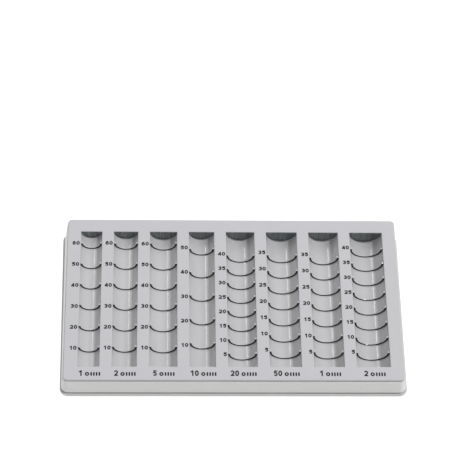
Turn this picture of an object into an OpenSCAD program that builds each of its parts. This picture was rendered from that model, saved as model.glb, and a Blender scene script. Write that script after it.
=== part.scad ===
// Manual coin counting tray: a sloping board with eight half-round coin troughs.
// X runs left to right, Y front to back, Z up. Millimetres.

/* [Overall] */
// Width of the printed face plate, left to right
plate_w = 267.4; // [262:0.2:300]
// Depth of the face plate, measured up its slope
plate_d = 146.4; // [146:0.2:170]
// Height of the face plate's front edge above the table
front_h = 19.3; // [19:0.1:24]
// Slope of the face plate, rising to the back, in degrees
tilt = 4.6; // [3:0.1:7]

/* [Face plate] */
// Thickness of the face plate
plate_t = 1.4; // [1:0.1:2]
// Corner radius of the face plate
plate_r = 3.3; // [2:0.1:6]
// Rounding along the upper edges of the face plate
plate_edge = 0.7; // [0.2:0.1:0.9]
// Web of plate between two neighbouring windows
web = 9.47; // [8:0.01:12]
// Distance from the tray body's upper front edge to the windows
window_y = 12.4; // [11:0.2:16]
// Length of every window, up the slope
window_l = 123.2; // [120:0.2:128]
// Room at each side of a coin in its window
window_room = 0.5; // [0.1:0.02:0.6]

/* [Coins] */
// Diameter of the coin in each trough, left to right
coin_d = [16.25, 18.75, 21.25, 19.75, 22.25, 24.25, 23.25, 25.75]; // [10:0.05:40]
// Thickness of the coin in each trough
coin_t = [1.67, 1.67, 1.67, 1.93, 2.14, 2.38, 2.33, 2.20]; // [1:0.01:4]
// Coins between two count marks
group = [10, 10, 10, 10, 5, 5, 5, 5]; // [1:1:20]
// Number of count marks in each trough
marks = [6, 6, 6, 5, 8, 7, 7, 8]; // [1:1:10]
// Space between the coin groups, which the rib fills
group_gap = [2.3, 2.2, 2.2, 2.3, 2.1, 2.75, 2.75, 2.6]; // [1:0.05:4]
// Free length before the first mark
first_gap = [0, 0.55, 0.7, 1.25, 0.7, 1.45, 1.15, 1.3]; // [0:0.05:2]

/* [Troughs] */
// Wall of a trough
trough_wall = 1.2; // [0.8:0.1:1.6]
// Height of the ribs above the trough's surface, at its bottom
rib_h = 0.7; // [0.4:0.1:1.2]
// Height of the ribs at their two upper ends
rib_end = 1.6; // [0.8:0.1:2]
// Depth of the ribs' upper ends below the face plate's upper face
rib_top = 0.8; // [0.2:0.1:1.3]
// Width of a rib along the trough
rib_w = 2; // [1.2:0.1:2.1]
// Thickness of a trough's side flanges
flange_t = 1; // [0.8:0.1:1.4]
// Reach of the flanges to each side of the trough
flange_w = 3.4; // [2:0.1:3.6]
// Thickness of a black count mark
mark_t = 0.55; // [0.2:0.05:0.8]
// Thickness of the dark end pad
pad_t = 2.4; // [1.5:0.1:4]

/* [Tray body] */
// Draft of the outer walls, in degrees
draft = 7.6; // [4:0.2:12]
// How far the body's upper edge stands out in front of the plate, and behind it
step_front = 0.8; // [0.2:0.1:1.2]
// How far the body's upper edge stands out at each side of the plate
step_side = 0.3; // [0.1:0.1:1]
// Height of the shadow joint below the plate
seam_h = 1; // [0.4:0.1:1.2]
// Depth of the shadow joint, from the outside of the walls
seam_d = 1.6; // [1:0.1:1.8]
// Thickness of the outer walls
wall = 2; // [1.6:0.1:3]
// Thickness of the deck that carries the troughs
deck_t = 1.6; // [1.2:0.1:2]
// Corner radius of the walls at their lower edge
wall_r_low = 5.6; // [4:0.1:8]
// Corner radius of the walls at their highest point
wall_r_high = 3.6; // [1.5:0.1:4]
// Diameter of the screw bosses
boss_d = 6; // [5:0.1:7]
// Pilot bore in the screw bosses
pilot_d = 2.4; // [2:0.1:2.6]

/* [Base plate] */
// Height of the rubber feet below the base plate
foot_h = 0.8; // [0.5:0.1:2]
// Diameter of the rubber feet
foot_d = 11; // [8:0.5:14]
// Thickness of the base plate
base_t = 2.1; // [1.6:0.1:2.4]
// Open joint between the base plate and the walls
joint_gap = 1.5; // [0.4:0.1:2]
// Depth of that joint, from the outside of the walls
joint_d = 0.9; // [0.4:0.1:1.2]
// Reach of the base plate in front of the body's upper front edge
base_front = 2.93; // [2.4:0.01:4]
// Width of the base plate at its front corners
base_w_front = 273.66; // [272:0.01:310]
// Width of the base plate at its back corners
base_w_back = 277.68; // [276:0.01:316]
// Depth of the base plate, front to back
base_d = 154.95; // [154:0.05:180]
// Corner radius of the base plate
base_r = 6.4; // [5:0.1:9]

/* [Screws] */
// Rise of the screw wells above the base plate's inner face
well_h = 1.2; // [0.8:0.1:2]
// Diameter of the screw wells
well_d = 9.4; // [8:0.1:11]
// Depth of the counterbores for the screw heads
sink_h = 1.6; // [1.3:0.1:2]
// Shank diameter of the screws
screw_d = 3; // [2.5:0.1:3]
// Head diameter of the screws
head_d = 5.4; // [4.5:0.1:6]
// Height of the screw heads
head_h = 1.2; // [0.8:0.1:1.3]
// Length of the screws under the head
screw_l = 8; // [6:0.5:9]

/* [Hidden] */
$fn = 72;
N = len(coin_d);
td = tan(draft);
ct = cos(tilt);
st = sin(tilt);
tt = tan(tilt);
function win_r(k) = coin_d[k] / 2 + window_room;
function run(k) = k == 0 ? 0 : run(k - 1) + 2 * win_r(k - 1) + web;
run_w = run(N) - web;
function xc(k) = -run_w / 2 + run(k) + win_r(k);
function tr_r(k) = win_r(k) - 0.11;
function mark_y(k, m) = window_y + first_gap[k] + group[k] * coin_t[k] + m * (group[k] * coin_t[k] + group_gap[k]);
window_y2 = window_y + window_l;

z_rim = foot_h + base_t;
z_wall = z_rim + joint_gap;
// Size of the walls' upper edge, its place at the front and at the back, and its height
body_w = plate_w + 2 * step_side;
body_d = plate_d + 2 * step_front;
ytf = plate_t * st;
ytr = body_d * ct + plate_t * st;
function z_top(y) = front_h - plate_t * ct + (y - plate_t * st) * tt;
z_high = z_top(ytr);
function y_front(z) = ytf - (z_top(ytf) - z) * td;
function y_back(z) = ytr + (z_top(ytr) - z) * td;
function x_side(y, z) = body_w / 2 + (z_top(y) - z) * td;
y_mid = base_d / 2 - base_front;
boss_x = [for (k = [0, 3, 6]) xc(k) + win_r(k) + web / 2];
boss_yf = 7.2;
boss_yr = 142.6;
z_well = z_rim + well_h;
foot_x = 118;
foot_yf = 14;
foot_yr = 132;

// From the sloping frame, with its origin above the body's upper front edge in the plate's upper face, to the table's frame
module on_slope() {
    translate([0, -y_mid, front_h]) rotate([tilt, 0, 0]) children();
}

module on_table() {
    translate([0, -y_mid, 0]) children();
}

module rounded_rect(w, d, r) {
    union() {
        translate([-w / 2 + r, 0]) square([w - 2 * r, d]);
        translate([-w / 2, r]) square([w, d - 2 * r]);
        for (x = [-w / 2 + r, w / 2 - r], y = [r, d - r]) translate([x, y]) circle(r = r);
    }
}

module face_plate() {
    e = plate_edge;
    color([0.77, 0.77, 0.79]) on_slope() difference() {
        translate([0, step_front, 0]) union() {
            translate([0, 0, -plate_t]) linear_extrude(plate_t - e) rounded_rect(plate_w, plate_d, plate_r);
            translate([0, e, -plate_t]) linear_extrude(plate_t) rounded_rect(plate_w - 2 * e, plate_d - 2 * e, plate_r - e);
            for (y = [e, plate_d - e]) translate([-plate_w / 2 + plate_r, y, -e])
                rotate([0, 90, 0]) cylinder(r = e, h = plate_w - 2 * plate_r, $fn = 32);
            for (x = [-plate_w / 2 + e, plate_w / 2 - e]) translate([x, plate_r, -e])
                rotate([-90, 0, 0]) cylinder(r = e, h = plate_d - 2 * plate_r, $fn = 32);
            for (x = [-plate_w / 2 + plate_r, plate_w / 2 - plate_r], y = [plate_r, plate_d - plate_r])
                translate([x, y, -e]) rotate_extrude($fn = 64) translate([plate_r - e, 0]) circle(r = e, $fn = 32);
        }
        for (k = [0:N - 1]) translate([xc(k) - win_r(k), window_y, -plate_t - 1])
            cube([2 * win_r(k), window_l, plate_t + 2]);
    }
}

module wall_block(in, z0, z1) {
    hull() {
        for (z = [z0, z1]) {
            r = max(0.8, wall_r_low + (z - z_wall) / (z_high - z_wall) * (wall_r_high - wall_r_low) - in);
            yf = y_front(z) + in + r;
            yb = y_back(z) - in - r;
            for (y = [yf, yb], s = [-1, 1])
                translate([s * (x_side(y, z) - in - r), y, z - 0.005]) cylinder(r = r, h = 0.01, $fn = 32);
        }
    }
}

module tray_body() {
    color([0.78, 0.78, 0.77]) difference() {
        union() {
            difference() {
                on_table() wall_block(0, z_wall, z_high);
                on_slope() translate([-200, -50, -plate_t]) cube([400, 300, 60]);
                // Shadow joint all round, below the plate's edge
                difference() {
                    on_slope() translate([-200, -50, -plate_t - seam_h]) cube([400, 300, 60]);
                    on_table() wall_block(seam_d, z_wall, z_high + 1);
                }
                difference() {
                    on_table() wall_block(wall, z_wall - 2, z_high);
                    on_slope() translate([-200, -50, -plate_t - flange_t - deck_t]) cube([400, 300, 60]);
                }
            }
            intersection() {
                on_table() for (x = boss_x, y = [boss_yf, boss_yr]) translate([x, y, z_well])
                    cylinder(d = boss_d, h = 40, $fn = 48);
                on_slope() translate([-200, -50, -60]) cube([400, 300, 60 - plate_t - flange_t - deck_t / 2]);
            }
            // Webs below the deck that stiffen it at both ends of the troughs
            intersection() {
                on_table() for (x = boss_x, y = [boss_yf, boss_yr]) translate([x - 0.6, y < 50 ? y_front(z_wall) + 1 : y, z_well + 3])
                    cube([1.2, y < 50 ? y - y_front(z_wall) - 1 : y_back(z_wall) - y - 1, 40]);
                on_slope() translate([-200, -50, -60]) cube([400, 300, 60 - plate_t - flange_t - deck_t / 2]);
                on_table() wall_block(wall / 2, z_wall - 2, z_high);
            }
        }
        // Recess in the deck for the flanges, and an opening for each trough
        on_slope() translate([-run_w / 2 - trough_wall - flange_w - 0.2, window_y - trough_wall - 3.2, -plate_t - flange_t])
            cube([run_w + 2 * trough_wall + 2 * flange_w + 0.4, window_l + 2 * trough_wall + pad_t + 5.2, 20]);
        on_slope() for (k = [0:N - 1]) translate([xc(k) - win_r(k) - trough_wall - 0.2, window_y - trough_wall - 0.2, -plate_t - flange_t - deck_t - 1])
            cube([2 * (win_r(k) + trough_wall + 0.2), window_l + 2 * trough_wall + pad_t + 0.4, 10]);
        on_table() for (x = boss_x, y = [boss_yf, boss_yr]) translate([x, y, 0])
            cylinder(d = pilot_d, h = z_well + screw_l, $fn = 32);
    }
}

module half_bore(r, l) {
    rotate([-90, 0, 0]) cylinder(r = r, h = l);
}

// The space inside the ribs: a smaller circle set lower, so that the ribs grow towards their upper ends
module rib_clear(r, l) {
    i = r - rib_end;
    translate([0, -1, rib_h - rib_end]) half_bore(i, l);
    translate([-i, -1, rib_h - rib_end]) cube([2 * i, l, 5]);
}

// Keeps what lies lower than z, in the plate's own frame
module below(z) {
    intersection() {
        children();
        translate([-50, -10, z - 50]) cube([100, 300, 50]);
    }
}

// A half-round trough with side flanges, a closed front end, ribs between the coin groups and a seat for the end pad.
// Its axis lies in the face plate's upper face.
module coin_trough(k) {
    r = tr_r(k);
    R = r + trough_wall;
    l = window_l + pad_t + trough_wall;
    color([0.76, 0.76, 0.77]) on_slope() translate([xc(k), 0, 0]) {
        difference() {
            union() {
                below(-plate_t) translate([0, window_y - trough_wall, 0]) half_bore(R, l + trough_wall);
                translate([-R - flange_w + 0.15, window_y - trough_wall - 3, -plate_t - flange_t])
                    cube([2 * (R + flange_w - 0.15), l + trough_wall + 4.6, flange_t]);
            }
            translate([0, window_y, 0]) half_bore(r, l - trough_wall);
        }
        for (m = [0:marks[k] - 1]) difference() {
            union() {
                below(-plate_t) translate([0, mark_y(k, m) + mark_t, 0]) half_bore(r + trough_wall / 2, rib_w - mark_t);
                below(-rib_top) translate([0, mark_y(k, m) + mark_t, 0]) half_bore(r, rib_w - mark_t);
            }
            translate([0, mark_y(k, m) + mark_t, 0]) rib_clear(r, rib_w + 2);
        }
    }
}

// Black half rings on the front faces of the ribs
module count_marks(k) {
    r = tr_r(k);
    color([0.07, 0.07, 0.08]) on_slope() translate([xc(k), 0, 0]) below(-rib_top) {
        for (m = [0:marks[k] - 1]) translate([0, mark_y(k, m), 0]) difference() {
            half_bore(r, mark_t);
            rib_clear(r, mark_t + 2);
        }
    }
}

// Dark half-round pad that closes the rear end of a trough
module end_pad(k) {
    r = tr_r(k) - 0.05;
    color([0.3, 0.32, 0.33]) on_slope() translate([xc(k), 0, 0]) {
        below(-plate_t) translate([0, window_y2 - 0.7, 0]) half_bore(r, pad_t + 0.45);
        below(-0.11) translate([0, window_y2 - 0.7, 0]) half_bore(r, 0.65);
    }
}

// The outline between two rounded front corners and two rounded back corners
module outline(yf, yb, xf, xb, r) {
    union() {
        polygon([[-xf, yf + r], [-xf + r, yf], [xf - r, yf], [xf, yf + r], [xb, yb - r], [xb - r, yb], [-xb + r, yb], [-xb, yb - r]]);
        for (s = [-1, 1]) {
            translate([s * (xf - r), yf + r]) circle(r = r);
            translate([s * (xb - r), yb - r]) circle(r = r);
        }
    }
}

// The walls' lower edge, moved in from their outside
module wall_outline(in) {
    r = wall_r_low - in;
    yf = y_front(z_wall) + in;
    yb = y_back(z_wall) - in;
    outline(yf, yb, x_side(yf + r, z_wall) - in, x_side(yb - r, z_wall) - in, r);
}

// Flat base with a visible rim, a locating step inside the walls, screw seats and foot recesses
module base_plate() {
    color([0.77, 0.77, 0.76]) on_table() difference() {
        union() {
            translate([0, 0, foot_h]) linear_extrude(base_t) outline(-base_front, base_d - base_front, base_w_front / 2, base_w_back / 2, base_r);
            translate([0, 0, foot_h]) linear_extrude(base_t + joint_gap) wall_outline(joint_d);
            for (x = boss_x, y = [boss_yf, boss_yr]) translate([x, y, foot_h]) cylinder(d = well_d, h = base_t + well_h, $fn = 48);
            translate([0, 0, foot_h]) linear_extrude(base_t + joint_gap + 1.6) difference() {
                wall_outline(wall + 0.45);
                wall_outline(wall + 2);
            }
        }
        translate([0, 0, foot_h + base_t]) linear_extrude(5) difference() {
            wall_outline(wall + 2);
            for (x = boss_x, y = [boss_yf, boss_yr]) translate([x, y]) circle(d = well_d, $fn = 48);
        }
        for (x = boss_x, y = [boss_yf, boss_yr]) translate([x, y, z_well]) cylinder(d = well_d, h = 5, $fn = 48);
        for (x = boss_x, y = [boss_yf, boss_yr]) translate([x, y, 0]) {
            cylinder(d = screw_d + 0.4, h = 20, $fn = 48);
            cylinder(d = head_d + 0.8, h = foot_h + sink_h, $fn = 48);
        }
        for (x = [-foot_x, foot_x], y = [foot_yf, foot_yr]) translate([x, y, foot_h - 1])
            cylinder(d = foot_d + 0.3, h = 1.6, $fn = 64);
    }
}

module rubber_feet() {
    color([0.16, 0.16, 0.17]) on_table() for (x = [-foot_x, foot_x], y = [foot_yf, foot_yr]) translate([x, y, 0]) {
        translate([0, 0, 0.3]) cylinder(d = foot_d, h = foot_h + 0.3, $fn = 64);
        cylinder(d1 = foot_d - 0.6, d2 = foot_d, h = 0.3, $fn = 64);
    }
}

module base_screws() {
    color([0.7, 0.7, 0.72]) on_table() for (x = boss_x, y = [boss_yf, boss_yr]) translate([x, y, 0]) screw();
}

module screw() {
    translate([0, 0, foot_h + sink_h - head_h]) difference() {
        union() {
            cylinder(d = head_d, h = head_h, $fn = 48);
            cylinder(d = screw_d, h = head_h + screw_l - 1.2, $fn = 32);
            translate([0, 0, head_h + screw_l - 1.21]) cylinder(d1 = screw_d, d2 = 1, h = 1.2, $fn = 32);
        }
        for (a = [0, 90]) rotate([0, 0, a]) translate([-1.6, -0.35, -0.5]) cube([3.2, 0.7, 1.2]);
    }
}

face_plate();
tray_body();
coin_trough(0);  // coin_trough_1c
coin_trough(1);  // coin_trough_2c
coin_trough(2);  // coin_trough_5c
coin_trough(3);  // coin_trough_10c
coin_trough(4);  // coin_trough_20c
coin_trough(5);  // coin_trough_50c
coin_trough(6);  // coin_trough_1e
coin_trough(7);  // coin_trough_2e
count_marks(0);  // count_marks_1c
count_marks(1);  // count_marks_2c
count_marks(2);  // count_marks_5c
count_marks(3);  // count_marks_10c
count_marks(4);  // count_marks_20c
count_marks(5);  // count_marks_50c
count_marks(6);  // count_marks_1e
count_marks(7);  // count_marks_2e
end_pad(0);  // end_pad_1c
end_pad(1);  // end_pad_2c
end_pad(2);  // end_pad_5c
end_pad(3);  // end_pad_10c
end_pad(4);  // end_pad_20c
end_pad(5);  // end_pad_50c
end_pad(6);  // end_pad_1e
end_pad(7);  // end_pad_2e
base_plate();
rubber_feet();
base_screws();
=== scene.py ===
import bpy, bmesh, math
from mathutils import Vector, Matrix
from mathutils.geometry import delaunay_2d_cdt


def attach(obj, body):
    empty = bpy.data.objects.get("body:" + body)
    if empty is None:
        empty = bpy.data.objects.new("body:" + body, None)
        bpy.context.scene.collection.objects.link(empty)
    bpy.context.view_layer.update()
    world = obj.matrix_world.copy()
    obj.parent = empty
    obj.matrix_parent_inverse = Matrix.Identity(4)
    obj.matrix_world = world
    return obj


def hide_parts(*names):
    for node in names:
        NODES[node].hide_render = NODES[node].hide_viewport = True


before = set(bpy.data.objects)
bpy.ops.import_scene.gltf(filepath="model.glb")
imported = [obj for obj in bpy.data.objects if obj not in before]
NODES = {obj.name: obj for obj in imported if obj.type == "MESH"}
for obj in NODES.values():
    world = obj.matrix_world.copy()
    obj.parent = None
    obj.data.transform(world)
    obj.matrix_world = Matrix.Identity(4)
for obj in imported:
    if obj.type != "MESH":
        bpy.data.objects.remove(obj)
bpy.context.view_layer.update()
scene = bpy.context.scene

# ---------------------------------------------------------------- sizes, in millimetres
TILT = math.radians(4.6)
C, S, T = math.cos(TILT), math.sin(TILT), math.tan(TILT)
PLATE_W, PLATE_D, PLATE_T, PLATE_R = 267.4, 146.4, 1.4, 3.3
FRONT_H = 19.3
WIN_Y, WIN_L, WEB, ROOM = 12.4, 123.2, 9.47, 0.5
COIN_D = [16.25, 18.75, 21.25, 19.75, 22.25, 24.25, 23.25, 25.75]
COIN_T = [1.67, 1.67, 1.67, 1.93, 2.14, 2.38, 2.33, 2.20]
GROUP = [10, 10, 10, 10, 5, 5, 5, 5]
MARKS = [6, 6, 6, 5, 8, 7, 7, 8]
GAP = [2.3, 2.2, 2.2, 2.3, 2.1, 2.75, 2.75, 2.6]
FIRST = [0, 0.55, 0.7, 1.25, 0.7, 1.45, 1.15, 1.3]
NAMES = ["1c", "2c", "5c", "10c", "20c", "50c", "1e", "2e"]
VALUES = ["1", "2", "5", "10", "20", "50", "1", "2"]
TW, RIB_H, RIB_END, RIB_TOP, RIB_W, FL_T, FL_W, MARK_T, PAD_T = 1.2, 0.7, 1.6, 0.8, 2.0, 1.0, 3.4, 0.55, 2.4
STEP_Y, STEP_X, SEAM_H, SEAM_D = 0.8, 0.3, 1.0, 1.6
WALL, DECK, BASE_R = 2.0, 1.6, 6.4
FOOT_H, BASE_T, JOINT, JOINT_D = 0.8, 2.1, 1.5, 0.9
BASE_FRONT, BASE_WF, BASE_WB, BASE_D = 2.93, 273.66, 277.68, 154.95
BODY_W, BODY_D = PLATE_W + 2 * STEP_X, PLATE_D + 2 * STEP_Y
TD = math.tan(math.radians(7.6))
WIN_R = [d / 2 + ROOM for d in COIN_D]
TR_R = [w - 0.11 for w in WIN_R]
RUN = [0.0]
for w in WIN_R:
    RUN.append(RUN[-1] + 2 * w + WEB)
RUN_W = RUN[-1] - WEB
XC = [-RUN_W / 2 + RUN[k] + WIN_R[k] for k in range(8)]
Z_RIM = FOOT_H + BASE_T
Z_WALL = Z_RIM + JOINT
YTF = PLATE_T * S
YTR = BODY_D * C + PLATE_T * S


def z_top(y):
    return FRONT_H - PLATE_T * C + (y - PLATE_T * S) * T


Z_HIGH = z_top(YTR)


def y_front(z):
    return YTF - (z_top(YTF) - z) * TD


def y_back(z):
    return YTR + (z_top(YTR) - z) * TD


def x_side(y, z):
    return BODY_W / 2 + (z_top(y) - z) * TD


Y_MID = BASE_D / 2 - BASE_FRONT


def mark_y(k, m):
    return WIN_Y + FIRST[k] + GROUP[k] * COIN_T[k] + m * (GROUP[k] * COIN_T[k] + GAP[k])


def on_slope(x, y, z):
    """A point of the plate's own frame (origin above the body's upper front edge, y up the slope) in the row frame, in metres."""
    return Vector((x, y * C - z * S - Y_MID, FRONT_H + y * S + z * C)) * 0.001


def on_table(x, y, z):
    return Vector((x, y - Y_MID, z)) * 0.001


# ---------------------------------------------------------------- mesh helpers
class Shell:
    """Collects vertices and faces, in millimetres, through a placing function."""

    def __init__(self, place):
        self.v, self.f, self.raw, self.place = [], [], [], place

    def add(self, p):
        self.raw.append(p)
        self.v.append(self.place(*p))
        return len(self.v) - 1

    def loop(self, pts):
        return [self.add(p) for p in pts]

    def bridge(self, a, b, closed=True):
        n = len(a)
        for i in range(n if closed else n - 1):
            j = (i + 1) % n
            self.f.append((a[i], a[j], b[j], b[i]))

    def skin(self, loops, closed=True):
        for a, b in zip(loops, loops[1:]):
            self.bridge(a, b, closed)

    def cap(self, loop):
        self.f.append(tuple(loop))

    def flat_with_holes(self, outer, holes):
        """Fills the flat area between an outer loop and hole loops of vertices that are already there."""
        ids, edges = [], []
        for ring in [outer] + holes:
            n = len(ids)
            ids += ring
            edges += [(n + i, n + (i + 1) % len(ring)) for i in range(len(ring))]
        flat = [Vector((self.raw[i][0], self.raw[i][1])) for i in ids]
        _, _, faces, orig, _, _ = delaunay_2d_cdt(flat, edges, [], 1, 1e-7)
        for f in faces:
            tri = [ids[orig[i][0]] for i in f]
            cx = sum(self.raw[i][0] for i in tri) / 3
            cy = sum(self.raw[i][1] for i in tri) / 3
            if self.within(outer, cx, cy) and not any(self.within(h, cx, cy) for h in holes):
                self.f.append(tuple(tri))

    def within(self, ring, x, y):
        inside = False
        for i in range(len(ring)):
            xa, ya = self.raw[ring[i]][:2]
            xb, yb = self.raw[ring[i - 1]][:2]
            if (ya > y) != (yb > y) and x < (xb - xa) * (y - ya) / (yb - ya) + xa:
                inside = not inside
        return inside

    def build(self, name, sharp=38, weld=1e-7):
        me = bpy.data.meshes.new(name)
        me.from_pydata([tuple(v) for v in self.v], [], self.f)
        bm = bmesh.new()
        bm.from_mesh(me)
        bmesh.ops.remove_doubles(bm, verts=bm.verts[:], dist=weld)
        bad = [f for f in bm.faces if f.calc_area() < 1e-14]
        if bad:
            bmesh.ops.dissolve_degenerate(bm, dist=1e-8, edges=bm.edges[:])
        bmesh.ops.recalc_face_normals(bm, faces=bm.faces[:])
        bm.to_mesh(me)
        bm.free()
        return finish_mesh(name, me, sharp)


def finish_mesh(name, me, sharp=38):
    me.shade_smooth()
    me.set_sharp_from_angle(angle=math.radians(sharp))
    ob = bpy.data.objects.new(name, me)
    scene.collection.objects.link(ob)
    return ob


def weighted(ob):
    m = ob.modifiers.new("weighted", "WEIGHTED_NORMAL")
    m.mode = "FACE_AREA"
    m.keep_sharp = True
    return ob


def arc(cx, cy, r, a0, a1, n):
    return [(cx + r * math.cos(math.radians(a0 + (a1 - a0) * i / n)), cy + r * math.sin(math.radians(a0 + (a1 - a0) * i / n))) for i in range(n + 1)]


def round_rect(w, y0, y1, r, n=10, inset=0.0):
    """Corner points, anticlockwise from the front right corner, of a rounded rectangle centred on x = 0."""
    rr = max(r - inset, 0.02)
    X, a, b = w / 2 - inset, y0 + inset, y1 - inset
    return (arc(X - rr, a + rr, rr, -90, 0, n) + arc(X - rr, b - rr, rr, 0, 90, n)
            + arc(-X + rr, b - rr, rr, 90, 180, n) + arc(-X + rr, a + rr, rr, 180, 270, n))


def box_rect(x0, x1, y0, y1, r, n=3, grow=0.0):
    x0, x1, y0, y1 = x0 - grow, x1 + grow, y0 - grow, y1 + grow
    r = r + grow
    return (arc(x1 - r, y0 + r, r, -90, 0, n) + arc(x1 - r, y1 - r, r, 0, 90, n)
            + arc(x0 + r, y1 - r, r, 90, 180, n) + arc(x0 + r, y0 + r, r, 180, 270, n))


def refine(node, width, segments=2, angle=35, sharp=50, dissolve=True, name=None, merge=2e-6):
    """A copy of a CAD node's mesh with its flat faces cleaned and its edges rounded, which stands for that node."""
    src = NODES[node]
    me = src.data.copy()
    me.name = (name or node) + "_mesh"
    bm = bmesh.new()
    bm.from_mesh(me)
    for layer in list(bm.loops.layers.uv):
        pass
    bmesh.ops.remove_doubles(bm, verts=bm.verts[:], dist=merge)
    if dissolve:
        bmesh.ops.dissolve_limit(bm, angle_limit=math.radians(0.6), use_dissolve_boundaries=False, verts=bm.verts[:], edges=bm.edges[:])
    bmesh.ops.recalc_face_normals(bm, faces=bm.faces[:])
    bm.to_mesh(me)
    bm.free()
    me.materials.clear()
    me.shade_smooth()
    me.set_sharp_from_angle(angle=math.radians(sharp))
    ob = bpy.data.objects.new(name or node + "_fine", me)
    scene.collection.objects.link(ob)
    if width:
        b = ob.modifiers.new("edges", "BEVEL")
        b.width = width * 0.001
        b.segments = segments
        b.limit_method = "ANGLE"
        b.angle_limit = math.radians(angle)
        b.use_clamp_overlap = True
        b.harden_normals = False
        b.miter_outer = "MITER_ARC"
        weighted(ob)
    return ob


# ---------------------------------------------------------------- materials
def mat_base(name):
    m = bpy.data.materials.new(name)
    m.use_nodes = True
    nt = m.node_tree
    nt.nodes.clear()
    out = nt.nodes.new("ShaderNodeOutputMaterial")
    bsdf = nt.nodes.new("ShaderNodeBsdfPrincipled")
    nt.links.new(bsdf.outputs["BSDF"], out.inputs["Surface"])
    return m, nt, bsdf


def coords(nt, scale=(1, 1, 1)):
    tc = nt.nodes.new("ShaderNodeTexCoord")
    mp = nt.nodes.new("ShaderNodeMapping")
    mp.inputs["Scale"].default_value = scale
    nt.links.new(tc.outputs["Object"], mp.inputs["Vector"])
    return mp.outputs["Vector"]


def noise(nt, vec, scale, detail=3.0, rough=0.5):
    n = nt.nodes.new("ShaderNodeTexNoise")
    n.inputs["Scale"].default_value = scale
    n.inputs["Detail"].default_value = detail
    n.inputs["Roughness"].default_value = rough
    nt.links.new(vec, n.inputs["Vector"])
    return n.outputs["Fac"]


def remap(nt, fac, lo, hi, a=0.3, b=0.7):
    m = nt.nodes.new("ShaderNodeMapRange")
    m.inputs["From Min"].default_value = a
    m.inputs["From Max"].default_value = b
    m.inputs["To Min"].default_value = lo
    m.inputs["To Max"].default_value = hi
    nt.links.new(fac, m.inputs["Value"])
    return m.outputs["Result"]


def mix_rgb(nt, fac, a, b):
    m = nt.nodes.new("ShaderNodeMix")
    m.data_type = "RGBA"
    m.inputs["A"].default_value = (*a, 1)
    m.inputs["B"].default_value = (*b, 1)
    nt.links.new(fac, m.inputs["Factor"])
    return m.outputs["Result"]


def bump(nt, height, strength, distance):
    b = nt.nodes.new("ShaderNodeBump")
    b.inputs["Strength"].default_value = strength
    b.inputs["Distance"].default_value = distance
    nt.links.new(height, b.inputs["Height"])
    return b


def plastic(name, col, col2, rough, rough2, grain=2600.0, grain_h=0.00002, grain_s=0.35, mottle_and_sheen_scale=70.0, spec=0.5, coat=0.0, stretch=(1, 1, 1), coat_rough=0.1):
    """Moulded plastic: a faint random unevenness in the colour, a slightly uneven gloss and a fine spark-eroded grain.
    Drawn out by stretch, the colour noise becomes streaks; on the end pads these streaks are painted reflections.
    """
    m, nt, bsdf = mat_base(name)
    vec = coords(nt, stretch)
    big = noise(nt, vec, mottle_and_sheen_scale, 4.0, 0.55)
    fine = noise(nt, vec, grain, 2.0, 0.6)
    col_out = mix_rgb(nt, remap(nt, big, 0.0, 1.0, 0.35, 0.65), col, col2)
    nt.links.new(col_out, bsdf.inputs["Base Color"])
    nt.links.new(remap(nt, big, rough, rough2, 0.3, 0.7), bsdf.inputs["Roughness"])
    b = bump(nt, fine, grain_s, grain_h)
    nt.links.new(b.outputs["Normal"], bsdf.inputs["Normal"])
    bsdf.inputs["Specular IOR Level"].default_value = spec
    if coat:
        bsdf.inputs["Coat Weight"].default_value = coat
        bsdf.inputs["Coat Roughness"].default_value = coat_rough
    return m


MAT = {
    "plate": plastic("plate_matt_grey", (0.434, 0.434, 0.452), (0.442, 0.442, 0.461), 0.55, 0.63, grain=2200, grain_h=0.00004, grain_s=0.5),
    "shell": plastic("shell_satin_grey", (0.548, 0.548, 0.543), (0.558, 0.558, 0.553), 0.42, 0.5, grain=1500, grain_h=0.00002, grain_s=0.3),
    "base": plastic("base_satin_grey", (0.465, 0.465, 0.46), (0.475, 0.475, 0.47), 0.42, 0.5, grain=1500, grain_h=0.00002, grain_s=0.3),
    "trough": plastic("trough_gloss_grey", (0.45, 0.45, 0.458), (0.47, 0.47, 0.478), 0.36, 0.44, grain=900, grain_h=0.00001, grain_s=0.1, mottle_and_sheen_scale=45, spec=0.25, coat=0.6, coat_rough=0.07, stretch=(1, 0.25, 1)),
    "mark": plastic("mark_black", (0.008, 0.008, 0.009), (0.014, 0.014, 0.015), 0.45, 0.55, spec=0.3),
    # end pads: dark grey plastic whose colour noise is drawn out into vertical lighter streaks, painted reflections of
    # the trough floor in the glossy end face
    "pad": plastic("pad_dark_grey_sheen_streaks", (0.072, 0.082, 0.087), (0.118, 0.13, 0.136), 0.22, 0.3, grain=900, grain_h=0.00001, grain_s=0.1, mottle_and_sheen_scale=260, stretch=(1, 1, 0.06)),
    "rubber": plastic("rubber_black", (0.02, 0.02, 0.021), (0.03, 0.03, 0.031), 0.75, 0.85, grain=1800, grain_h=0.00005, grain_s=0.6, spec=0.3),
    "ink": plastic("ink_black", (0.01, 0.01, 0.012), (0.016, 0.016, 0.018), 0.5, 0.6, spec=0.25),
}


def steel(name):
    m, nt, bsdf = mat_base(name)
    vec = coords(nt)
    big = noise(nt, vec, 900, 4.0, 0.6)
    nt.links.new(mix_rgb(nt, remap(nt, big, 0, 1), (0.55, 0.56, 0.58), (0.68, 0.69, 0.72)), bsdf.inputs["Base Color"])
    nt.links.new(remap(nt, big, 0.25, 0.42), bsdf.inputs["Roughness"])
    bsdf.inputs["Metallic"].default_value = 1.0
    b = bump(nt, noise(nt, vec, 4000, 2.0), 0.2, 0.00001)
    nt.links.new(b.outputs["Normal"], bsdf.inputs["Normal"])
    return m


MAT["screw"] = steel("zinc_steel")


def dress(ob, mat, nodes=()):
    ob.data.materials.clear()
    ob.data.materials.append(MAT[mat])
    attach(ob, "root")
    if nodes:
        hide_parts(*nodes)
    return ob


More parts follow.
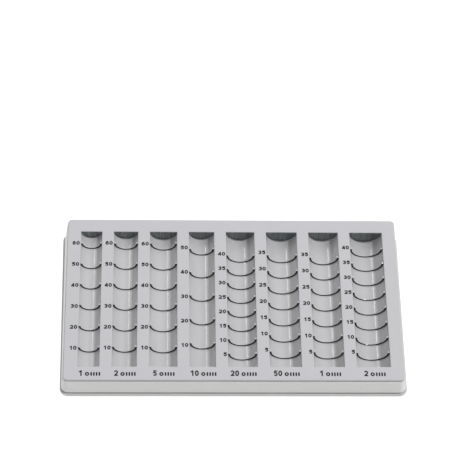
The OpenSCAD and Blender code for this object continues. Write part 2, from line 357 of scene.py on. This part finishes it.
# ---------------------------------------------------------------- face plate
def make_face_plate():
    e = 0.7
    sh = Shell(on_slope)
    prof = [(0.25, -PLATE_T), (0.07, -PLATE_T + 0.07), (0.0, -PLATE_T + 0.25)]
    prof += [(e - e * math.cos(math.radians(a)), -e + e * math.sin(math.radians(a))) for a in range(0, 91, 15)]
    loops = [sh.loop([(x, y, z) for x, y in round_rect(PLATE_W, STEP_Y, STEP_Y + PLATE_D, PLATE_R, 14, i)]) for i, z in prof]
    sh.skin(loops)
    tops, bottoms = [], []
    we = 0.16
    wprof = [(0.06, -PLATE_T), (0.0, -PLATE_T + 0.06)]
    wprof += [(we - we * math.cos(math.radians(a)), -we + we * math.sin(math.radians(a))) for a in range(0, 91, 30)]
    for k in range(8):
        rings = [sh.loop([(x, y, z) for x, y in box_rect(XC[k] - WIN_R[k], XC[k] + WIN_R[k], WIN_Y, WIN_Y + WIN_L, 0.25, 4, g)]) for g, z in wprof]
        sh.skin(rings)
        bottoms.append(rings[0])
        tops.append(rings[-1])
    sh.flat_with_holes(loops[-1], tops)
    sh.flat_with_holes(loops[0], bottoms)
    ob = sh.build("face_plate_moulded", 50)
    weighted(ob)
    return dress(ob, "plate", ["face_plate"])


# ---------------------------------------------------------------- troughs
# A trough's axis lies in the plate's upper face, so every section is given by angles from straight down
def rib_inner(r, th):
    """Distance from the axis to the rib's inner edge, at angle th from straight down."""
    i, d = r - RIB_END, RIB_END - RIB_H
    c = math.cos(th)
    return d * c + math.sqrt(max(i * i - d * d * (1 - c * c), 0))


def make_trough(k):
    r = TR_R[k]
    R = r + TW
    sh = Shell(on_slope)
    xc = XC[k]
    y_end = WIN_Y + WIN_L + PAD_T
    NA = 60
    zt = -PLATE_T
    d = RIB_END - RIB_H
    lip = 6  # extra points at each end of a section, for the part of the rib above the trough's top face

    def plain(y, inset):
        """A section of the bare bore, shrunk by inset, ending in the top face."""
        q = max(r - inset, 0.0)
        a1 = math.acos(min(1.0, -zt / q)) if q > -zt else 0.0
        line = []
        for j in range(NA + 1):
            a = -a1 + 2 * a1 * j / NA
            line.append((q * math.sin(a), y, -q * math.cos(a)) if q > -zt else (0.0, y, zt))
        return [line[0]] * lip + line + [line[-1]] * lip

    def rib(y, inset):
        """A section of the rib; a negative inset pulls its edge back, to round it."""
        i = r - RIB_END - inset
        outer = math.sqrt(r * r - zt * zt)
        top = -RIB_TOP + inset * 0.8
        f = 0.2
        line = []
        a1 = math.pi / 2 if -zt <= d else math.acos((-zt - d) / i)
        for j in range(NA + 1):
            a = -a1 + 2 * a1 * j / NA
            line.append((i * math.sin(a), y, -d - i * math.cos(a)))
        xi, zi = line[-1][0], line[-1][2]
        xo = math.sqrt(r * r - top * top)
        # from the top face outside, over the rib's end, down to the inner edge
        end = [(outer, zt), (xo - 0.04, top - 0.06), (xo - 0.14, top), (i + f, top), (i + f * 0.3, top - f * 0.3), (i, top - f)]
        right = [(x, y, z) for x, z in end[::-1]]
        left = [(-x, y, z) for x, z in end]
        return left + line + right

    # the plain section passes the rib's foot line, so both kinds of section share their number of points
    rows = [plain(WIN_Y, r), plain(WIN_Y, 0.45)]
    rows += [plain(WIN_Y + 0.45 - 0.45 * math.cos(math.radians(a)), 0.45 - 0.45 * math.sin(math.radians(a))) for a in (30, 60, 90)]
    rows.append(plain(WIN_Y + 0.8, 0.0))
    for m in range(MARKS[k]):
        y0 = mark_y(k, m) + MARK_T
        y1 = mark_y(k, m) + RIB_W
        f = 0.25
        rows += [plain(y0, 0.0), rib(y0, -0.08)]
        rows += [rib(y0 + 0.08 - 0.08 * math.cos(math.radians(a)), -0.08 + 0.08 * math.sin(math.radians(a))) for a in (45, 90)]
        rows += [rib(y1 - f + f * math.sin(math.radians(a)), -f + f * math.cos(math.radians(a))) for a in (0, 22.5, 45, 67.5, 90)]
        rows += [plain(y1, 0.1), plain(y1 + 0.03, 0.03), plain(y1 + 0.1, 0.0), plain(y1 + 0.4, 0.0)]
    rows += [plain(y_end - 0.2, 0.0), plain(y_end, 0.2), plain(y_end, r)]
    grid = [sh.loop([(xc + x, y, z) for x, y, z in row]) for row in rows]
    n = len(grid[0])
    for a, b in zip(grid, grid[1:]):
        for j in range(n - 1):
            sh.f.append((a[j], a[j + 1], b[j + 1], b[j]))
    # top face with the trough's mouth as a hole
    left = [g[0] for g in grid]
    right = [g[-1] for g in grid]
    mouth = tidy(sh, left + right[::-1])
    F = R + FL_W - 0.15
    ya, yb = WIN_Y - TW - 3, y_end + TW + 1.6
    top = sh.loop([(xc + x, y, zt) for x, y in ((-F, ya), (F, ya), (F, yb), (-F, yb))])
    low = sh.loop([(xc + x, y, zt - FL_T) for x, y in ((-F, ya), (F, ya), (F, yb), (-F, yb))])
    sh.bridge(top, low)
    sh.flat_with_holes(top, [mouth])
    # underside: flange, then the outside of the half round with two flat ends
    a0 = math.degrees(math.acos((PLATE_T + FL_T) / R))
    NO = 40
    yo0, yo1 = WIN_Y - TW, y_end + TW
    ang = [math.radians(-a0 + 2 * a0 * j / NO) for j in range(NO + 1)]
    front = sh.loop([(xc + R * math.sin(a), yo0, -R * math.cos(a)) for a in ang])
    back = sh.loop([(xc + R * math.sin(a), yo1, -R * math.cos(a)) for a in ang])
    sh.bridge(front, back, closed=False)
    sh.cap(front)
    sh.cap(back[::-1])
    sh.flat_with_holes(low, [[front[0], front[-1], back[-1], back[0]]])
    ob = sh.build("coin_trough_%s_moulded" % NAMES[k], 40)
    return dress(ob, "trough", ["coin_trough_" + NAMES[k]])


def tidy(sh, ring):
    """Drops repeated places from a ring of vertices."""
    out = []
    for i in ring:
        if not out or math.dist(sh.raw[out[-1]], sh.raw[i]) > 1e-6:
            out.append(i)
    while math.dist(sh.raw[out[0]], sh.raw[out[-1]]) < 1e-6:
        out.pop()
    return out


# ---------------------------------------------------------------- black count marks
def make_marks(k):
    r = TR_R[k]
    sh = Shell(on_slope)
    xc = XC[k]
    i, d = r - RIB_END, RIB_END - RIB_H
    NA = 60
    f = 0.08
    for m in range(MARKS[k]):
        y0 = mark_y(k, m)
        y1 = y0 + MARK_T
        loops = []
        for j in range(NA + 1):
            t = -1 + 2 * j / NA
            ao = math.acos(RIB_TOP / r) * t
            outer = (r * math.sin(ao), -r * math.cos(ao))
            inner = []
            for q in (0.0, f * 0.3, f):
                rr = i + q
                if RIB_TOP > d:
                    ai = math.acos((RIB_TOP - d) / rr) * t
                    inner.append((rr * math.sin(ai), -d - rr * math.cos(ai)))
                else:
                    # the side runs straight up above the lowered circle
                    full = math.pi / 2 * rr + (d - RIB_TOP)
                    s_ = abs(t) * full
                    if s_ > math.pi / 2 * rr:
                        inner.append((math.copysign(rr, t), -d + s_ - math.pi / 2 * rr))
                    else:
                        inner.append((rr * math.sin(s_ / rr) * (1 if t >= 0 else -1), -d - rr * math.cos(s_ / rr)))
            (x0, z0), (x1, z1), (x2, z2) = inner
            xo, zo = outer
            loops.append(sh.loop([(xc + xo, y1, zo), (xc + xo, y0, zo), (xc + x2, y0, z2), (xc + x1, y0 + f * 0.3, z1), (xc + x0, y0 + f, z0), (xc + x0, y1, z0)]))
        sh.skin(loops)
        sh.cap(loops[0])
        sh.cap(loops[-1][::-1])
    ob = sh.build("count_marks_%s_rings" % NAMES[k], 40)
    return dress(ob, "mark", ["count_marks_" + NAMES[k]])


# ---------------------------------------------------------------- end pads
def make_pad(k):
    r = TR_R[k] - 0.05
    sh = Shell(on_slope)
    xc = XC[k]
    y0 = WIN_Y + WIN_L - 0.7
    y1 = y0 + PAD_T + 0.45
    NA = 52
    f = 0.2

    def ring(y, inset, top):
        q = r - inset
        a1 = math.acos(-top / q)
        return sh.loop([(xc + q * math.sin(-a1 + 2 * a1 * j / NA), y, -q * math.cos(-a1 + 2 * a1 * j / NA)) for j in range(NA + 1)])

    zt = -PLATE_T - 0.01
    up = -0.12
    # the thin upper lip, then the thick half round below it; both share the lower part of their rings
    def full(y, inset, top):
        q = r - inset
        a0 = math.acos(-zt / q)
        a1 = math.acos(-top / q)
        arc_pts = [(q * math.sin(-a0 + 2 * a0 * j / NA), -q * math.cos(-a0 + 2 * a0 * j / NA)) for j in range(NA + 1)]
        side = [(q * math.sin(a0 + (a1 - a0) * t), -q * math.cos(a0 + (a1 - a0) * t)) for t in (0.35, 0.7, 1.0)]
        pts = [(-x, z) for x, z in side[::-1]] + arc_pts + side
        return sh.loop([(xc + x, y, z) for x, z in pts])

    def low(y, inset):
        q = r - inset
        a0 = math.acos(-zt / q)
        return sh.loop([(xc + q * math.sin(-a0 + 2 * a0 * j / NA), y, -q * math.cos(-a0 + 2 * a0 * j / NA)) for j in range(NA + 1)])

    a = [full(y0, f, up - f), full(y0 + 0.06, 0.06, up - 0.06), full(y0 + f, 0.0, up), full(y0 + 0.65, 0.0, up)]
    sh.skin(a)
    sh.cap(a[0])
    b0 = a[-1][3:-3]
    b = [b0, low(y1 - f, 0.0), low(y1, f)]
    sh.skin(b)
    sh.cap(b[-1][::-1])
    # the lip's rear face
    sh.cap(a[-1][:4] + a[-1][-4:])
    ob = sh.build("end_pad_%s_moulded" % NAMES[k], 40, weld=1e-6)
    return dress(ob, "pad", ["end_pad_" + NAMES[k]])


# ---------------------------------------------------------------- printing on the plate
def ell(cx, cy, rx, ry, a0, a1, n=22):
    return [(cx + rx * math.cos(math.radians(a0 + (a1 - a0) * i / n)), cy + ry * math.sin(math.radians(a0 + (a1 - a0) * i / n))) for i in range(n + 1)]


def strokes(ch, w, t):
    """The centre lines of a numeral in a box of width w and height 1, drawn with a pen of width t."""
    a, m = t / 2, w / 2
    l, r, b, u = a, w - a, a, 1 - a
    if ch == "0":
        return [(ell(m, 0.5, m - a, 0.5 - a, 0, 360, 44)[:-1], True)]
    if ch == "1":
        x = w * 0.64
        return [([(x, 0), (x, 1)], False), ([(x, u - 0.02), (x - 0.16, 0.78), (x - 0.33, 0.7)], False)]
    if ch == "2":
        return [(ell(m, u - 0.235, m - a, 0.235, 170, -25) + [(m + 0.1, 0.4), (l + 0.13, 0.25), (l + 0.08, b + 0.02)], False), ([(0.02, b), (w, b)], False)]
    if ch == "3":
        return [(ell(m, u - 0.19, m - a, 0.19, 160, -75), False), (ell(m, b + 0.215, m - a, 0.215, 75, -162), False), ([(m - 0.1, 0.525), (m + 0.08, 0.525)], False)]
    if ch == "4":
        return [([(w * 0.72, 0), (w * 0.72, 1)], False), ([(0.0, 0.28), (w, 0.28)], False), ([(w * 0.72 - 0.02, 0.93), (0.1, 0.3)], False)]
    if ch == "5":
        return [([(l + 0.05, u), (w - 0.03, u)], False), ([(l + 0.1, 1), (l + 0.03, 0.46)], False), (ell(m, b + 0.24, m - a, 0.24, 138, -160), False)]
    if ch == "6":
        return [(ell(m, b + 0.225, m - a, 0.225, 0, 360, 36)[:-1], True), (ell(m + 0.01, 0.46, m - a + 0.01, 0.54 - a, 205, 42), False)]
    return []


def pen(line, closed, t):
    """Both edges of a pen stroke along a line."""
    n = len(line)
    left, right = [], []
    for i in range(n):
        p, c, q = line[i - 1 if closed or i else 0], line[i], line[(i + 1) % n if closed or i < n - 1 else n - 1]
        d0, d1 = Vector((c[0] - p[0], c[1] - p[1])), Vector((q[0] - c[0], q[1] - c[1]))
        d0 = d0.normalized() if d0.length else d1.normalized()
        d1 = d1.normalized() if d1.length else d0
        mid = (d0 + d1).normalized()
        k = t / 2 / max(mid.dot(d1), 0.5)
        left.append((c[0] - mid.y * k, c[1] + mid.x * k))
        right.append((c[0] + mid.y * k, c[1] - mid.x * k))
    return left, right


def in_ring(ring, x, y):
    inside = False
    for i in range(len(ring)):
        (xa, ya), (xb, yb) = ring[i], ring[i - 1]
        if (ya > y) != (yb > y) and x < (xb - xa) * (y - ya) / (yb - ya) + xa:
            inside = not inside
    return inside


def flat_union(shapes):
    """One flat triangle mesh of overlapping shapes; a shape is a list of rings, filled by the even-odd rule."""
    pts, edges = [], []
    for shape in shapes:
        for ring in shape:
            n = len(pts)
            pts += [Vector(p) for p in ring]
            edges += [(n + i, n + (i + 1) % len(ring)) for i in range(len(ring))]
    verts, _, faces, _, _, _ = delaunay_2d_cdt(pts, edges, [], 0, 1e-6)
    keep = []
    for f in faces:
        x = sum(verts[i].x for i in f) / len(f)
        y = sum(verts[i].y for i in f) / len(f)
        if any(sum(in_ring(ring, x, y) for ring in shape) % 2 for shape in shapes):
            keep.append(tuple(f))
    me = bpy.data.meshes.new("figure")
    me.from_pydata([(v.x, v.y, 0) for v in verts], [], keep)
    return me


def numeral_shapes(text, height, width, t, gap, x=0.0, y=0.0):
    """The shapes of a number, in millimetres, and its width."""
    shapes = []
    w, p, g = width / height, t / height, gap / height
    for i, ch in enumerate(text):
        for line, closed in strokes(ch, w, p):
            a, b = pen(line, closed, p)
            rings = [a, b] if closed else [a + b[::-1]]
            shapes.append([[(x + (q[0] + i * (w + g)) * height, y + q[1] * height) for q in ring] for ring in rings])
    return shapes, len(text) * width + (len(text) - 1) * gap


INK_Z = 0.012


def place_ink(sh_list, me):
    """Adds a flat figure on the plate as a thin closed layer of ink."""
    bm = bmesh.new()
    bm.from_mesh(me)
    for v in [v for v in bm.verts if not v.link_faces]:
        bm.verts.remove(v)
    bmesh.ops.dissolve_limit(bm, angle_limit=0.01, verts=bm.verts[:], edges=bm.edges[:])
    bmesh.ops.recalc_face_normals(bm, faces=bm.faces[:])
    for f in bm.faces:
        if f.normal.z < 0:
            f.normal_flip()
    geo = bmesh.ops.extrude_face_region(bm, geom=bm.faces[:])
    upset = set(g for g in geo["geom"] if isinstance(g, bmesh.types.BMVert))
    for v in bm.verts:
        v.co.z = INK_Z if v in upset else -0.004
    bmesh.ops.recalc_face_normals(bm, faces=bm.faces[:])
    base = len(sh_list.v)
    bm.verts.index_update()
    for v in bm.verts:
        sh_list.add((v.co.x, v.co.y, v.co.z))
    for f in bm.faces:
        sh_list.f.append(tuple(base + v.index for v in f.verts))
    bm.free()
    bpy.data.meshes.remove(me)


def make_scale_figures():
    for k in range(8):
        sh = Shell(on_slope)
        a, b, c = FIG_ROW[k]
        for m in range(MARKS[k]):
            text = str(GROUP[k] * (m + 1))
            w = len(text) * FIG_W + (len(text) - 1) * FIG_GAP
            x = XC[k] - WIN_R[k] - FIG_IN - w
            shapes, _ = numeral_shapes(text, FIG_H, FIG_W, FIG_T, FIG_GAP, x, a + b * m + c * m * m - FIG_H / 2)
            place_ink(sh, flat_union(shapes))
        ob = sh.build("scale_figures_" + NAMES[k], 60, weld=0)
        dress(ob, "ink")


def make_value_figures():
    for k in range(8):
        sh = Shell(on_slope)
        w = len(VALUES[k]) * 3.05 + (len(VALUES[k]) - 1) * 0.5
        h, gap = 3.4, 1.9
        total = w + gap + h + 0.95 + 1.15 + 3 * 2.1
        x = XC[k] - total / 2 + LABEL_DX[k]
        y = WIN_Y + LABEL_DY
        shapes, _ = numeral_shapes(VALUES[k], 4.9, 3.1, 1.08, 0.48, x, y)
        # a row of coins: one seen from the front, four on edge
        cx, cy = x + w + gap + h / 2, y + h / 2
        shapes.append([ell(cx, cy, h / 2, h / 2, 0, 360, 44)[:-1], ell(cx, cy, h / 2 - 1.1, h / 2 - 1.1, 0, 360, 44)[:-1]])
        for i in range(4):
            bx, r = cx + h / 2 + 0.85 + 0.65 + i * 2.12, 0.65
            shapes.append([ell(bx, y + h - r, r, r, 0, 180, 10) + ell(bx, y + r, r, r, 180, 360, 10)])
        place_ink(sh, flat_union(shapes))
        ob = sh.build("value_figures_" + NAMES[k], 60, weld=0)
        dress(ob, "ink")


FIG_H, FIG_W, FIG_T, FIG_GAP, FIG_IN = 3.5, 2.75, 0.95, 0.36, 0.85
# height of the middle of the numerals of each scale on the plate: start, pitch and drift
FIG_ROW = [(28.84, 18.382, 0.158), (29.09, 18.344, 0.162), (29.17, 18.357, 0.129), (31.50, 21.601, 0.178), (23.35, 12.564, 0.075), (27.47, 14.326, 0.085), (25.74, 14.359, 0.079), (25.75, 13.231, 0.062)]
LABEL_DX, LABEL_DY = [1.0, 0.6, 0.4, 0.3, 0.3, 0.3, 0.3, 0.3], -8.1


# ---------------------------------------------------------------- tray body
def fuse(ob, cutter, op):
    """Joins another piece to this one, or cuts it away, and drops the other piece."""
    b = ob.modifiers.new("fuse", "BOOLEAN")
    b.operation = op
    b.solver = "EXACT"
    b.object = cutter
    bpy.context.view_layer.update()
    me = bpy.data.meshes.new_from_object(ob.evaluated_get(bpy.context.evaluated_depsgraph_get()))
    ob.modifiers.clear()
    old, name = ob.data, ob.data.name
    ob.data = me
    bpy.data.meshes.remove(old)
    me.name = name
    bpy.data.objects.remove(cutter)


def reset_shading(ob, sharp):
    bm = bmesh.new()
    bm.from_mesh(ob.data)
    bmesh.ops.remove_doubles(bm, verts=bm.verts[:], dist=1e-7)
    bmesh.ops.recalc_face_normals(bm, faces=bm.faces[:])
    bm.to_mesh(ob.data)
    bm.free()
    ob.data.shade_smooth()
    ob.data.set_sharp_from_angle(angle=math.radians(sharp))


def tube_set(place, spots, r_out, z0, z1, n=40):
    sh = Shell(place)
    for x, y in spots:
        a = [(x + r_out * math.cos(2 * math.pi * i / n), y + r_out * math.sin(2 * math.pi * i / n)) for i in range(n)]
        lo = sh.loop([(p, q, z0) for p, q in a])
        hi = sh.loop([(p, q, z1(y) if callable(z1) else z1) for p, q in a])
        sh.bridge(lo, hi)
        sh.cap(lo[::-1])
        sh.cap(hi)
    return sh.build("tubes", 40)


def box_set(place, boxes):
    sh = Shell(place)
    for x0, x1, y0, y1, z0, z1 in boxes:
        lo = sh.loop([(x0, y0, z0), (x1, y0, z0), (x1, y1, z0), (x0, y1, z0)])
        hi = sh.loop([(x0, y0, z1), (x1, y0, z1), (x1, y1, z1), (x0, y1, z1)])
        sh.bridge(lo, hi)
        sh.cap(lo[::-1])
        sh.cap(hi)
    return sh.build("boxes", 40)


BOSS_X = [XC[k] + WIN_R[k] + WEB / 2 for k in (0, 3, 6)]
BOSS_YF, BOSS_YR, BOSS_D, PILOT_D = 7.2, 142.6, 6.0, 2.4
WALL_R_LOW, WALL_R_HIGH = 5.6, 3.6
NC = 16


def table_to_slope(x, y, z):
    h = z - FRONT_H
    return (x, y * C + h * S, -y * S + h * C)


def wall_points(inset, z):
    """The walls' outline at height z above the table, inset from the outside, as table points."""
    r = max(0.8, WALL_R_LOW + (z - Z_WALL) / (Z_HIGH - Z_WALL) * (WALL_R_HIGH - WALL_R_LOW) - inset)
    yf, yb = y_front(z) + inset + r, y_back(z) - inset - r
    out = []
    for sx, y, a0 in ((1, yf, -90), (1, yb, 0), (-1, yb, 90), (-1, yf, 180)):
        cx = sx * (x_side(y, z) - inset - r)
        out += [(cx + r * math.cos(math.radians(a0 + 90 * i / NC)), y + r * math.sin(math.radians(a0 + 90 * i / NC)), z) for i in range(NC + 1)]
    return out


def wall_at(inset, height, sloping):
    """The same outline, cut by a level plane or by a plane parallel to the plate."""
    lo, hi = wall_points(inset, Z_WALL), wall_points(inset, Z_HIGH)
    out = []
    for a, b in zip(lo, hi):
        if sloping:
            za, zb = table_to_slope(*a)[2], table_to_slope(*b)[2]
            t = (height - za) / (zb - za)
        else:
            t = (height - Z_WALL) / (Z_HIGH - Z_WALL)
        out.append(table_to_slope(*[p + (q - p) * t for p, q in zip(a, b)]))
    return out


def make_tray_body():
    sh = Shell(on_slope)
    f = 0.3
    q = [math.radians(a) for a in (0, 30, 60, 90)]
    outer = [sh.loop(wall_at(f - f * math.sin(a), Z_WALL + f - f * math.cos(a), False)) for a in q]
    g = 0.2
    zs = -PLATE_T - SEAM_H
    outer += [sh.loop(wall_at(g - g * math.cos(a), zs - g + g * math.sin(a), True)) for a in q]
    outer += [sh.loop(wall_at(SEAM_D, zs, True)), sh.loop(wall_at(SEAM_D, -PLATE_T, True))]
    sh.skin(outer)
    inner = [sh.loop(wall_at(WALL + 0.1, Z_WALL, False)), sh.loop(wall_at(WALL, Z_WALL + 0.1, False)), sh.loop(wall_at(WALL, -PLATE_T - FL_T - DECK, True))]
    sh.bridge(outer[0], inner[0])
    sh.skin(inner)
    x0 = RUN_W / 2 + TW + FL_W + 0.2
    y0 = WIN_Y - TW - 3.2
    y1 = y0 + WIN_L + 2 * TW + PAD_T + 5.2
    z1 = -PLATE_T - FL_T
    rec_top = sh.loop([(-x0, y0, -PLATE_T), (x0, y0, -PLATE_T), (x0, y1, -PLATE_T), (-x0, y1, -PLATE_T)])
    rec_low = sh.loop([(-x0, y0, z1), (x0, y0, z1), (x0, y1, z1), (-x0, y1, z1)])
    sh.flat_with_holes(outer[-1], [rec_top])
    sh.bridge(rec_top, rec_low)
    up, down = [], []
    for k in range(8):
        w = WIN_R[k] + TW + 0.2
        ya = WIN_Y - TW - 0.2
        yb = ya + WIN_L + 2 * TW + PAD_T + 0.4
        up.append(sh.loop([(XC[k] + x, y, z1) for x, y in ((-w, ya), (w, ya), (w, yb), (-w, yb))]))
        down.append(sh.loop([(XC[k] + x, y, z1 - DECK) for x, y in ((-w, ya), (w, ya), (w, yb), (-w, yb))]))
        sh.bridge(up[-1], down[-1])
    sh.flat_with_holes(rec_low, up)
    sh.flat_with_holes(inner[-1], down)
    ob = sh.build("tray_body_moulded", 40)
    zw = Z_RIM + 1.2
    deck = lambda y: z_top(y) - FL_T - DECK / 2
    spots = [(x, y) for x in BOSS_X for y in (BOSS_YF, BOSS_YR)]
    fuse(ob, tube_set(on_table, spots, BOSS_D / 2, zw, deck), "UNION")
    webs = []
    for x in BOSS_X:
        webs.append((x - 0.6, x + 0.6, y_front(Z_WALL) + 2.6, BOSS_YF, zw + 3, z_top(BOSS_YF) - FL_T - DECK / 2 - 0.3))
        webs.append((x - 0.6, x + 0.6, BOSS_YR, BOSS_YR + 3.1, zw + 3, z_top(BOSS_YR) - FL_T - DECK / 2 - 0.3))
    fuse(ob, box_set(on_table, webs), "UNION")
    fuse(ob, tube_set(on_table, spots, PILOT_D / 2, 0.0, zw + 8.0, 28), "DIFFERENCE")
    reset_shading(ob, 40)
    weighted(ob)
    return dress(ob, "shell", ["tray_body"])


# ---------------------------------------------------------------- base plate
FOOT_X, FOOT_YF, FOOT_YR, FOOT_D = 118.0, 14.0, 132.0, 11.0
HEAD_D, HEAD_H, SINK_H, SCREW_D, SCREW_L, WELL_H, WELL_D = 5.4, 1.2, 1.6, 3.0, 8.0, 1.2, 9.4


def corner_points(yf, yb, xf, xb, r, z):
    out = []
    for sx, cx, y, a0 in ((1, xf - r, yf + r, -90), (1, xb - r, yb - r, 0), (-1, xb - r, yb - r, 90), (-1, xf - r, yf + r, 180)):
        out += [(sx * cx + r * math.cos(math.radians(a0 + 90 * i / NC)), y + r * math.sin(math.radians(a0 + 90 * i / NC)), z) for i in range(NC + 1)]
    return out


def base_points(inset, z):
    i = inset + 0.006
    return corner_points(-BASE_FRONT + i, BASE_D - BASE_FRONT - i, BASE_WF / 2 - i, BASE_WB / 2 - i, max(BASE_R - inset, 0.5), z)


def foot_points(inset, z):
    """The walls' lower edge, moved in from their outside."""
    r = WALL_R_LOW - inset
    yf, yb = y_front(Z_WALL) + inset, y_back(Z_WALL) - inset
    return corner_points(yf, yb, x_side(yf + r, Z_WALL) - inset, x_side(yb - r, Z_WALL) - inset, r, z)


def make_base_plate():
    sh = Shell(on_table)
    f, g = 0.35, 0.45
    loops = [sh.loop(base_points(f - f * math.sin(a), FOOT_H + f - f * math.cos(a))) for a in [math.radians(v) for v in (0, 30, 60, 90)]]
    loops += [sh.loop(base_points(g - g * math.cos(a), Z_RIM - g + g * math.sin(a))) for a in [math.radians(v) for v in (0, 22.5, 45, 67.5, 90)]]
    loops += [sh.loop(foot_points(JOINT_D, Z_RIM)), sh.loop(foot_points(JOINT_D, Z_WALL - 0.1)), sh.loop(foot_points(JOINT_D + 0.1, Z_WALL))]
    s2 = WALL + 0.45
    loops += [sh.loop(foot_points(s2, Z_WALL)), sh.loop(foot_points(s2, Z_WALL + 1.45)), sh.loop(foot_points(s2 + 0.15, Z_WALL + 1.6))]
    s3 = WALL + 2
    loops += [sh.loop(foot_points(s3, Z_WALL + 1.6)), sh.loop(foot_points(s3, Z_RIM))]
    sh.skin(loops)
    n = 48

    def circle(x, y, r, z):
        return sh.loop([(x + r * math.cos(2 * math.pi * i / n), y + r * math.sin(2 * math.pi * i / n), z) for i in range(n)])

    sh.cap(loops[-1])
    holes = []
    for x in (-FOOT_X, FOOT_X):
        for y in (FOOT_YF, FOOT_YR):
            r = (FOOT_D + 0.3) / 2
            lo, ch, hi = circle(x, y, r + 0.15, FOOT_H), circle(x, y, r, FOOT_H + 0.15), circle(x, y, r, FOOT_H + 0.6)
            sh.skin([lo, ch, hi])
            sh.cap(hi)
            holes.append(lo)
    for x in BOSS_X:
        for y in (BOSS_YF, BOSS_YR):
            r = (HEAD_D + 0.8) / 2
            lo, ch, hi = circle(x, y, r + 0.2, FOOT_H), circle(x, y, r, FOOT_H + 0.2), circle(x, y, r, FOOT_H + SINK_H)
            sh.skin([lo, ch, hi])
            sh.cap(hi)
            holes.append(lo)
    sh.flat_with_holes(loops[0], holes)
    ob = sh.build("base_plate_moulded", 40)
    spots = [(x, y) for x in BOSS_X for y in (BOSS_YF, BOSS_YR)]
    fuse(ob, tube_set(on_table, spots, WELL_D / 2, Z_RIM - 0.05, Z_RIM + WELL_H, 48), "UNION")
    fuse(ob, tube_set(on_table, spots, (SCREW_D + 0.4) / 2, FOOT_H + SINK_H - 0.3, Z_RIM + WELL_H + 2, 40), "DIFFERENCE")
    reset_shading(ob, 40)
    weighted(ob)
    return dress(ob, "base", ["base_plate"])


# ---------------------------------------------------------------- shell, base, feet, screws
make_face_plate()
for k in range(8):
    make_trough(k)
    make_marks(k)
    make_pad(k)
make_scale_figures()
make_value_figures()
make_tray_body()
make_base_plate()
dress(refine("rubber_feet", 0.2, 3, 30, 50, name="rubber_feet_moulded"), "rubber", ["rubber_feet"])
dress(refine("base_screws", 0.08, 2, 35, 50, name="base_screws_formed", merge=1.5e-5), "screw", ["base_screws"])

# ---------------------------------------------------------------- floor and light
fl = bpy.data.meshes.new("floor")
fl.from_pydata([(-3, -3, 0), (3, -3, 0), (3, 3, 0), (-3, 3, 0)], [], [(0, 1, 2, 3)])
floor = bpy.data.objects.new("floor", fl)
scene.collection.objects.link(floor)
fm, fnt, fb = mat_base("floor_pale")
fb.inputs["Base Color"].default_value = (0.86, 0.86, 0.86, 1)
fb.inputs["Roughness"].default_value = 0.9
fb.inputs["Specular IOR Level"].default_value = 0.1
fb.inputs["Emission Color"].default_value = (1, 1, 1, 1)
fb.inputs["Emission Strength"].default_value = 0.16
fl.materials.append(fm)

world = bpy.data.worlds.new("studio")
scene.world = world
world.use_nodes = True
bg = world.node_tree.nodes["Background"]
bg.inputs["Color"].default_value = (1.0, 1.0, 1.0, 1)
bg.inputs["Strength"].default_value = 0.41


def soft_box(name, direction, size, size_y, strength, distance=1.5, along=None):
    """A soft box that faces the tray from the given direction; its strength is the light that it gives a face turned to it."""
    d = Vector(direction).normalized()
    li = bpy.data.lights.new(name, "AREA")
    li.shape = "RECTANGLE"
    li.size = size
    li.size_y = size_y
    li.energy = strength * math.pi * distance * distance * math.pi
    ob = bpy.data.objects.new(name, li)
    ob.location = Vector((0, 0, 0.02)) + d * distance
    ob.rotation_euler = (-d).to_track_quat("-Z", "Y").to_euler()
    if along is not None:
        # the long side runs along the given direction
        up = (Vector(along) - Vector(along).dot(d) * d).normalized()
        ob.rotation_euler = Matrix((up.cross(d), up, d)).transposed().to_euler()
    scene.collection.objects.link(ob)
    return ob


def key_light(name, direction, strength, spread):
    li = bpy.data.lights.new(name, "SUN")
    li.energy = strength * math.pi
    li.angle = math.radians(spread)
    ob = bpy.data.objects.new(name, li)
    ob.rotation_euler = (-Vector(direction)).to_track_quat("-Z", "Y").to_euler()
    scene.collection.objects.link(ob)
    return ob


# The key lights the tray and the floor as two lamps, so that it throws no hard shadow on the white floor
KEY = (math.cos(math.radians(60)), 0.0, math.sin(math.radians(60)))
key = key_light("key", KEY, 0.6, 4.5)
key_floor = key_light("key_floor", KEY, 0.6, 4.5)
only_floor = bpy.data.collections.new("only_floor")
only_floor.objects.link(floor)
not_floor = bpy.data.collections.new("not_floor")
not_floor.objects.link(floor)
not_floor.collection_objects[0].light_linking.link_state = "EXCLUDE"
key.light_linking.receiver_collection = not_floor
key_floor.light_linking.receiver_collection = only_floor
key_floor.light_linking.blocker_collection = only_floor
soft_box("streak_box", (-0.532, 0.42, 0.738), 0.62, 1.3, 0.09, 5.0, (0, 1, 0))
soft_box("front_box", (0.0, -1.0, 0.22), 1.6, 0.4, 0.14)
soft_box("rear_box", (0.0, 0.8, 0.6), 1.4, 0.7, 0.3)
soft_box("right_box", (0.85, -0.1, 0.45), 0.8, 1.2, 0.17)
soft_box("left_box", (-1.0, 0.0, 0.16), 0.3, 1.2, 0.1)

# ---------------------------------------------------------------- camera
yaw, tilt, roll = [math.radians(a) for a in (-4.53, 31.30, 4.14)]
R = Matrix.Rotation(TILT, 3, "X") @ Matrix.Rotation(yaw, 3, "Z") @ Matrix.Rotation(tilt, 3, "X") @ Matrix.Rotation(roll, 3, "Z")
cam_data = bpy.data.cameras.new("camera")
cam_data.sensor_width = 36
cam_data.lens = 36 * 1810.45 / 466
cam = bpy.data.objects.new("camera", cam_data)
m = R.to_4x4()
m.translation = on_slope(-59.828, -631.49, 1264.19)
cam.matrix_world = m
cam_data.clip_start = 0.05
cam_data.clip_end = 20
scene.collection.objects.link(cam)
scene.camera = cam
scene.view_settings.view_transform = "Standard"
scene.view_settings.look = "None"

def plain(b):
    return [[round(float(x), 6) for x in p] for p in b]
